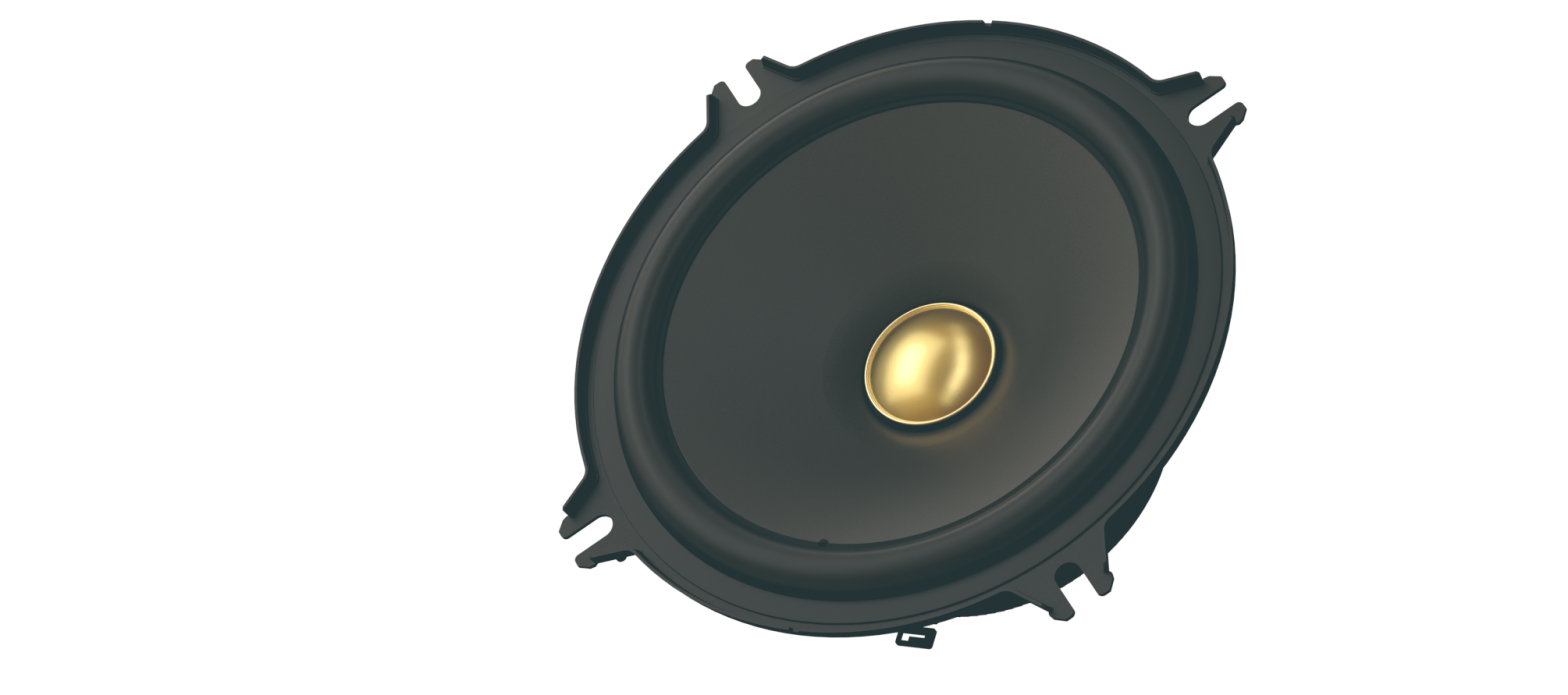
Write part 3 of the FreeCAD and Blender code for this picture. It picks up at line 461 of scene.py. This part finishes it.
def set_adhesive():
    look = Look("set_adhesive", Specular_IOR_Level=0.3)
    flow = look.noise(300.0, 3.0)
    look.colour(look.ramp(flow, (0.008, 0.010, 0.011), (0.016, 0.018, 0.019)))
    look.roughness(look.ramp(flow, 0.55, 0.70))
    look.bump(flow, 0.04 * MM, 0.5)
    return look


def foil():
    look = Look("foil", Metallic=1.0, Roughness=0.28)
    roll = look.noise(500.0, 2.0, stretch=(1.0, 1.0, 0.1))
    look.colour(look.ramp(roll, (0.70, 0.70, 0.71), (0.82, 0.82, 0.83)))
    look.roughness(look.ramp(roll, 0.22, 0.36))
    return look


RUBBER = moulded_rubber()
COATED = coated_steel()
CONE_LOOK = grained_cone()
GOLD = satin_gold()
CLOTH = spider_cloth()
STEEL = plated_steel()
FERRITE = ferrite()
COPPER = copper("copper_sheet", (0.70, 0.34, 0.20), (0.82, 0.44, 0.28), 0.3)
ENAMEL = copper("enamelled_wire", (0.46, 0.17, 0.06), (0.66, 0.27, 0.10), 0.25)
BRAID = copper("braid_copper", (0.62, 0.36, 0.22), (0.80, 0.52, 0.34), 0.35)
BRASS = copper("tag_brass", (0.72, 0.56, 0.27), (0.84, 0.68, 0.36), 0.28)
BOOT = boot_rubber()
BOARD = board_plastic()
KRAFT = kraft_paper()
GLUE = set_adhesive()
FOIL = foil()

# ---- pieces that bend with the cone --------------------------------------------------------------


def blend_radially(obj, outer_r, inner_r):
    """Bends a ring between the frame at outer_r and the cone at inner_r, by distance from the axis.
    """
    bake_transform(obj, FRAME_BODY, CONE_BODY, start=(outer_r, 0, 0), end=(inner_r, 0, 0))
    weights = obj.data.attributes["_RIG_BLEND"].data
    for vertex, weight in zip(obj.data.vertices, weights):
        share = (outer_r - vertex.co.xy.length) / (outer_r - inner_r)
        share = min(max(share, 0.0), 1.0)
        weight.value = share * share * (3 - 2 * share)


def add_disc(bm, centre, radius, top, edge, sides=40):
    """Adds a flat disc with a rounded rim, standing between two heights."""
    rings = []
    rounding = [math.radians(90 * k / 4) for k in range(5)]
    levels = [(radius, centre.z)]
    levels += [(radius - edge + edge * math.cos(a), top - edge + edge * math.sin(a)) for a in rounding]
    for r, z in levels:
        angles = [2 * math.pi * k / sides for k in range(sides)]
        rings.append([
            bm.verts.new((centre.x + r * math.cos(a), centre.y + r * math.sin(a), z))
            for a in angles])
    skin(bm, rings)


def make_surround():
    """The rubber half-roll: flat lip on the flange, roll, thin lip on the cone's edge, and a mark."""
    low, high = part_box("surround")
    lip_top = low.z + 0.4 * MM
    outer_roll = 5.0 * MM
    wall = 0.5 * MM
    mid_r = 54.4 * MM
    mid_z = high.z - outer_roll
    seam_r = 48.7 * MM
    seam_top = 3.0 * MM
    seam_under = seam_top - wall
    inner_roll = outer_roll - wall
    sink = lip_top - mid_z
    outer_start = math.degrees(math.asin(sink / outer_roll))
    inner_start = math.degrees(math.asin(sink / inner_roll))
    top_stop = 180 - math.degrees(math.asin((seam_top - mid_z) / outer_roll))
    under_stop = 180 - math.degrees(math.asin((seam_under - mid_z) / inner_roll))
    edge = 0.14 * MM
    roll_foot = mid_r + outer_roll * math.cos(math.radians(outer_start))
    crease = 0.12 * MM
    profile = softened([
        (high.x, low.z),
        (high.x, lip_top, edge),
        (roll_foot + crease * 2, lip_top),
        (roll_foot + crease, lip_top - crease * 1.6),
    ])
    profile += arc(mid_r, mid_z, outer_roll, outer_start + 3.0, top_stop - 2.0, 40)
    seam_foot = mid_r + outer_roll * math.cos(math.radians(top_stop))
    profile += softened([
        (seam_foot - edge * 2, seam_top),
        (seam_r, seam_top, edge),
        (seam_r, seam_under),
    ])
    profile += list(reversed(arc(mid_r, mid_z, inner_roll, inner_start, under_stop, 32)))
    profile += [(mid_r + inner_roll * math.cos(math.radians(inner_start)), low.z)]
    bm = bmesh.new()
    turn_profile(bm, profile)
    mark = Vector((0, -48.9 * MM, seam_under))
    add_disc(bm, mark, 1.0 * MM, seam_top, edge)
    obj = add_object("surround_roll", bm)
    paint(obj, RUBBER)
    blend_radially(obj, roll_foot, seam_foot)
    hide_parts("surround")


def make_spider():
    """The corrugated centring disc."""
    low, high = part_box("spider")
    outer, land, neck = 35.8 * MM, 31.9 * MM, 16.1 * MM
    bore = 13.15 * MM
    middle = (low.z + high.z) / 2
    wall = 0.4 * MM
    swing = (high.z - low.z - wall) / 2
    waves = 5
    steps = waves * 16

    def height(r):
        if r > land or r < neck:
            return 0.0
        return swing * math.sin((land - r) / (land - neck) * waves * 2 * math.pi)

    radii = [outer, (outer + land) / 2]
    radii += [land + (neck - land) * k / steps for k in range(steps + 1)]
    radii += [(neck + bore) / 2, bore]
    top = [(r, middle + wall / 2 + height(r)) for r in radii]
    under = [(r, middle - wall / 2 + height(r)) for r in reversed(radii)]
    obj = lathe("spider_weave", top + under, 192)
    paint(obj, CLOTH)
    blend_radially(obj, land, neck)
    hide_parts("spider")


def lead_path(node):
    """Points along a lead: up from the board, round a bend, in to the cone's back.

    Also gives the lead's radius and the point where the bend starts.
    """
    low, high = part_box(node)
    core = (high.x - low.x) / 2
    across = (high.x + low.x) / 2
    out = low.y + core
    top = high.z - core
    bend = 8.0 * MM
    steps = 24
    run_steps = 16
    rise = top - bend - low.z
    points = [Vector((across, out, low.z + rise * k / steps)) for k in range(steps)]
    for k in range(steps + 1):
        a = math.radians(90 * k / steps)
        y = out + bend - bend * math.cos(a)
        z = top - bend + bend * math.sin(a)
        points.append(Vector((across, y, z)))
    run = high.y - (out + bend)
    points += [
        Vector((across, out + bend + run * k / run_steps, top)) for k in range(1, run_steps + 1)]
    return points, core, points[steps]


def make_lead(node):
    """A braided lead: strands that wind round the path in both directions."""
    points, core, bend_start = lead_path(node)
    strands, pitch = 5, 4.2 * MM
    strand_r = core * 0.27
    bm = bmesh.new()
    for direction in (1, -1):
        for strand in range(strands):
            travelled, wound = 0.0, []
            for i, p in enumerate(points):
                ahead = heading(points, i)
                side = Vector((1, 0, 0))
                other = ahead.cross(side)
                travelled += (p - points[i - 1]).length if i else 0.0
                a = direction * 2 * math.pi * (travelled / pitch + strand / strands)
                away = core * (0.70 + 0.03 * direction)
                wound.append(p + side * away * math.cos(a) + other * away * math.sin(a))
            tube_along(bm, wound, strand_r, 7)
    obj = add_object(f"{node}_braid", bm, 60.0)
    paint(obj, BRAID)
    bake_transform(obj, FRAME_BODY, CONE_BODY, start=tuple(bend_start), end=tuple(points[-1]))
    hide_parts(node)


# ---- pieces that move with one body --------------------------------------------------------------


def make_winding():
    """The coil: turns of round wire side by side."""
    low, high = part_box("voice_coil_winding")
    outer = high.x
    inner = 12.9 * MM
    turns = 34
    wire = (high.z - low.z) / turns
    profile = [(inner, high.z), (inner, low.z)]
    for k in range(turns):
        mid = low.z + wire * (k + 0.5)
        profile += arc(outer - wire / 2, mid, wire / 2, -90, 90, 6)
    obj = lathe("voice_coil_turns", profile, 128, 60.0)
    paint(obj, ENAMEL)
    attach(obj, CONE_BODY)
    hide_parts("voice_coil_winding")


def make_cap():
    """The domed cap with its rolled bead."""
    low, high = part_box("dust_cap")
    base_r = 12.95 * MM
    bead = (high.x - base_r) / 2
    wall = 0.3 * MM
    base_z = low.z + wall
    rise = high.z - base_z
    dome = (base_r * base_r + rise * rise) / (2 * rise)
    half = math.degrees(math.asin(base_r / dome))
    inner = dome - wall
    seat = 12.5 * MM
    inner_half = math.degrees(math.asin(seat / inner))
    profile = [(0, high.z)] + arc(0, high.z - dome, dome, 90, 90 - half, 48)[1:]
    bead_start = 165
    profile += arc(high.x - bead, base_z, bead, bead_start, 0, 14)
    profile += [(high.x, low.z), (seat, low.z)]
    profile += arc(0, high.z - dome, inner, 90 - inner_half, 90, 24)[:-1]
    profile += [(0, high.z - wall)]
    obj = lathe("gold_cap", profile, TURNS, 50.0)
    paint(obj, GOLD)
    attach(obj, CONE_BODY)
    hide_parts("dust_cap")


def shade_as_cone(obj, run, drop, tolerance=0.2):
    """Gives the faces that lie on a cone of this slope the true cone's normals, without facets.

    The modifiers are applied first, because they would work the normals out again.
    """
    graph = bpy.context.evaluated_depsgraph_get()
    mesh = bpy.data.meshes.new_from_object(obj.evaluated_get(graph), depsgraph=graph)
    normals = [corner.vector.copy() for corner in mesh.corner_normals]

    def true_normal(place, side):
        around = Vector((place.x, place.y, 0)).normalized() * drop
        return (around - Vector((0, 0, run))).normalized() * side

    for polygon in mesh.polygons:
        side = -1 if polygon.normal.z > 0 else 1
        if (polygon.normal - true_normal(polygon.center, side)).length > tolerance:
            continue
        for corner in polygon.loop_indices:
            place = mesh.vertices[mesh.loops[corner].vertex_index].co
            normals[corner] = true_normal(place, side)
    mesh.normals_split_custom_set(normals)
    obj.modifiers.clear()
    obj.data = mesh


def make_basket():
    """The pressed basket, with its legs shaded as the cone that they are cut from."""
    obj = refined("basket", 0.14 * MM)
    leg_top_r, leg_foot_r = 59.0 * MM, 36.74 * MM
    leg_top_depth, leg_foot_depth = 6.42 * MM, 21.8 * MM
    shade_as_cone(obj, leg_top_r - leg_foot_r, leg_foot_depth - leg_top_depth)
    paint(obj, COATED)


make_surround()
make_spider()
make_lead("positive_lead")
make_lead("negative_lead")
make_winding()
make_cap()
make_basket()
for node, look in (
    ("magnet_boot", BOOT), ("terminal_board", BOARD),
    ("positive_terminal", BRASS), ("negative_terminal", BRASS),
):
    paint(refined(node, 0.12 * MM), look)

CAD_LOOKS = {
    "cone": CONE_LOOK,
    "voice_coil_former": FOIL,
    "former_collar": KRAFT,
    "neck_adhesive": GLUE,
    "lead_anchors": GLUE,
    "coil_wires": ENAMEL,
    "front_plate": STEEL,
    "magnet": FERRITE,
    "yoke": STEEL,
    "shorting_cap": COPPER,
    "vent_screen": STEEL,
    "plate_stakes": STEEL,
    "terminal_rivets": BRASS,
    "board_rivets": STEEL,
}
for node, look in CAD_LOOKS.items():
    paint(NODES[node], look)

# ---- camera, floor and light ---------------------------------------------------------------------

# The viewing angle in the frame's own axes; the shift slides the picture without turning it
CAMERA_AZIMUTH = -40.58
CAMERA_ELEVATION = 51.35
CAMERA_ROLL = 37.99
CAMERA_DISTANCE = 747.9 * MM
CAMERA_SHIFT = Vector((22.3, 4.6)) * MM
CAMERA_LENS = 89.83

# Power per unit of area, so that radiance alone sets how bright a rectangle looks
POWER_PER_AREA = 4


def direction(azimuth, elevation):
    """A unit vector, angles in degrees."""
    a, e = math.radians(azimuth), math.radians(elevation)
    return Vector((math.cos(a) * math.cos(e), math.sin(a) * math.cos(e), math.sin(e)))


def make_camera():
    back = direction(CAMERA_AZIMUTH, CAMERA_ELEVATION)
    level = Vector((0, 0, 1)).cross(back).normalized()
    steep = back.cross(level)
    roll = math.radians(CAMERA_ROLL)
    right = level * math.cos(roll) - steep * math.sin(roll)
    up = steep * math.cos(roll) + level * math.sin(roll)
    data = bpy.data.cameras.new("camera")
    data.lens = CAMERA_LENS
    data.clip_start = 0.01
    camera = bpy.data.objects.new("camera", data)
    camera.matrix_world = Matrix((right, up, back)).transposed().to_4x4()
    place = back * CAMERA_DISTANCE - right * CAMERA_SHIFT.x - up * CAMERA_SHIFT.y
    camera.location = place
    bpy.context.scene.collection.objects.link(camera)
    bpy.context.scene.camera = camera


def make_floor():
    """A plain pale floor that glows evenly and throws no light on the object."""
    look = Look("pale_floor", Roughness=0.9, Specular_IOR_Level=0.0)
    look.colour(look.ramp(look.noise(3.0), 0.04, 0.05))
    look.shader.inputs["Emission Color"].default_value = (1, 1, 1, 1)
    look.shader.inputs["Emission Strength"].default_value = 1.0
    bm = bmesh.new()
    side = 6.0
    level = cad_box[0].z - 0.02 * MM
    corners = [(-side, -side), (side, -side), (side, side), (-side, side)]
    bm.faces.new([bm.verts.new((x, y, level)) for x, y in corners])
    floor = add_object("floor", bm)
    floor.visible_diffuse = False
    floor.visible_glossy = False
    paint(floor, look)


def add_light(name, toward, along, size, radiance, colour=(1, 1, 1), far=3.0):
    """A soft rectangle seen in one direction, its longer side along another; size is in degrees."""
    back = Vector(toward).normalized()
    across = Vector(along).cross(back).normalized()
    up = back.cross(across)
    data = bpy.data.lights.new(name, "AREA")
    data.shape = "RECTANGLE"
    data.size = 2 * far * math.tan(math.radians(size[0] / 2))
    data.size_y = 2 * far * math.tan(math.radians(size[1] / 2))
    data.energy = radiance * POWER_PER_AREA * data.size * data.size_y
    data.color = colour
    light = bpy.data.objects.new(name, data)
    light.matrix_world = Matrix((across, up, back)).transposed().to_4x4()
    light.location = back * far
    bpy.context.scene.collection.objects.link(light)


def bend_curve(curve, points):
    """Sets a tone curve to straight runs between points."""
    while len(curve.points) < len(points):
        curve.points.new(0.5, 0.5)
    for point, place in zip(curve.points, points):
        point.location = place
        point.handle_type = "VECTOR"


def make_lights():
    """One large key light, a curved row for the cap, a low strip behind it and weak fills."""
    key = (-0.61, 0.21, 0.76)
    key_along = (0.0, 1.0, 0.0)
    add_light("key_core", key, key_along, (22, 36), 0.9, (1.0, 1.0, 1.15))
    add_light("key_soft", key, key_along, (54, 66), 0.66, (1.0, 0.97, 0.90), 3.05)
    add_light("key_wide", key, key_along, (84, 100), 0.15, (1.0, 0.84, 0.56), 3.1)
    add_light("near_fill", (-0.30, -0.72, 0.62), (1, 0, 0), (70, 50), 0.12, (1.0, 0.76, 0.36), 3.15)
    crescent = [
        Vector((-0.25, 0.94, 0.24)),
        Vector((0.08, 0.75, 0.66)),
        Vector((0.27, 0.49, 0.83)),
        Vector((0.37, 0.17, 0.91)),
        Vector((0.31, -0.17, 0.93)),
        Vector((0.19, -0.46, 0.87)),
    ]
    for start, stop, radiance in zip(crescent, crescent[1:], (0.4, 1.1, 1.6, 1.6, 0.9)):
        span = math.degrees(start.angle(stop)) + 2
        add_light("crescent", start + stop, stop - start, (9, span), radiance, (1.0, 0.99, 0.96))
    add_light("low_back", (-0.74, 0.66, 0.10), (0.66, 0.74, 0.0), (12, 80), 1.9, (1.0, 0.98, 0.95))
    for azimuth in (20, 230, 317):
        level = direction(azimuth, 2)
        add_light("side", level, level.cross(Vector((0, 0, 1))), (16, 70), 0.3)


def make_world():
    """A dim warm sky that fades to a darker ground."""
    sky, ground = (0.15, 0.10, 0.05, 1), (0.02, 0.02, 0.02, 1)
    world = bpy.data.worlds.new("studio")
    world.use_nodes = True
    tree = world.node_tree
    place = tree.nodes.new("ShaderNodeTexCoord")
    split = tree.nodes.new("ShaderNodeSeparateXYZ")
    fade = tree.nodes.new("ShaderNodeValToRGB")
    fade.color_ramp.elements[0].position = 0.0
    fade.color_ramp.elements[0].color = ground
    fade.color_ramp.elements[1].position = 0.7
    fade.color_ramp.elements[1].color = sky
    horizon = fade.color_ramp.elements.new(0.08)
    horizon.color = sky
    tree.links.new(place.outputs["Generated"], split.inputs[0])
    tree.links.new(split.outputs["Z"], fade.inputs[0])
    tree.links.new(fade.outputs[0], tree.nodes["Background"].inputs["Color"])
    bpy.context.scene.world = world


def set_tones():
    """Lifts the darkest tones to a soft blue-green. Each row is red, green or blue at three inputs."""
    view = bpy.context.scene.view_settings
    view.view_transform = "Standard"
    view.use_curve_mapping = True
    toe, knee, join = 0.010, 0.07, 0.13
    tints = [(0.0165, 0.063, 0.128), (0.033, 0.0742, 0.130), (0.0365, 0.0752, 0.130)]
    for curve, (dark, middle, upper) in zip(view.curve_mapping.curves, tints):
        bend_curve(curve, [(0, dark), (toe, dark), (knee, middle), (join, upper), (1, 1)])
    view.curve_mapping.update()


make_camera()
make_floor()
make_lights()
make_world()
set_tones()
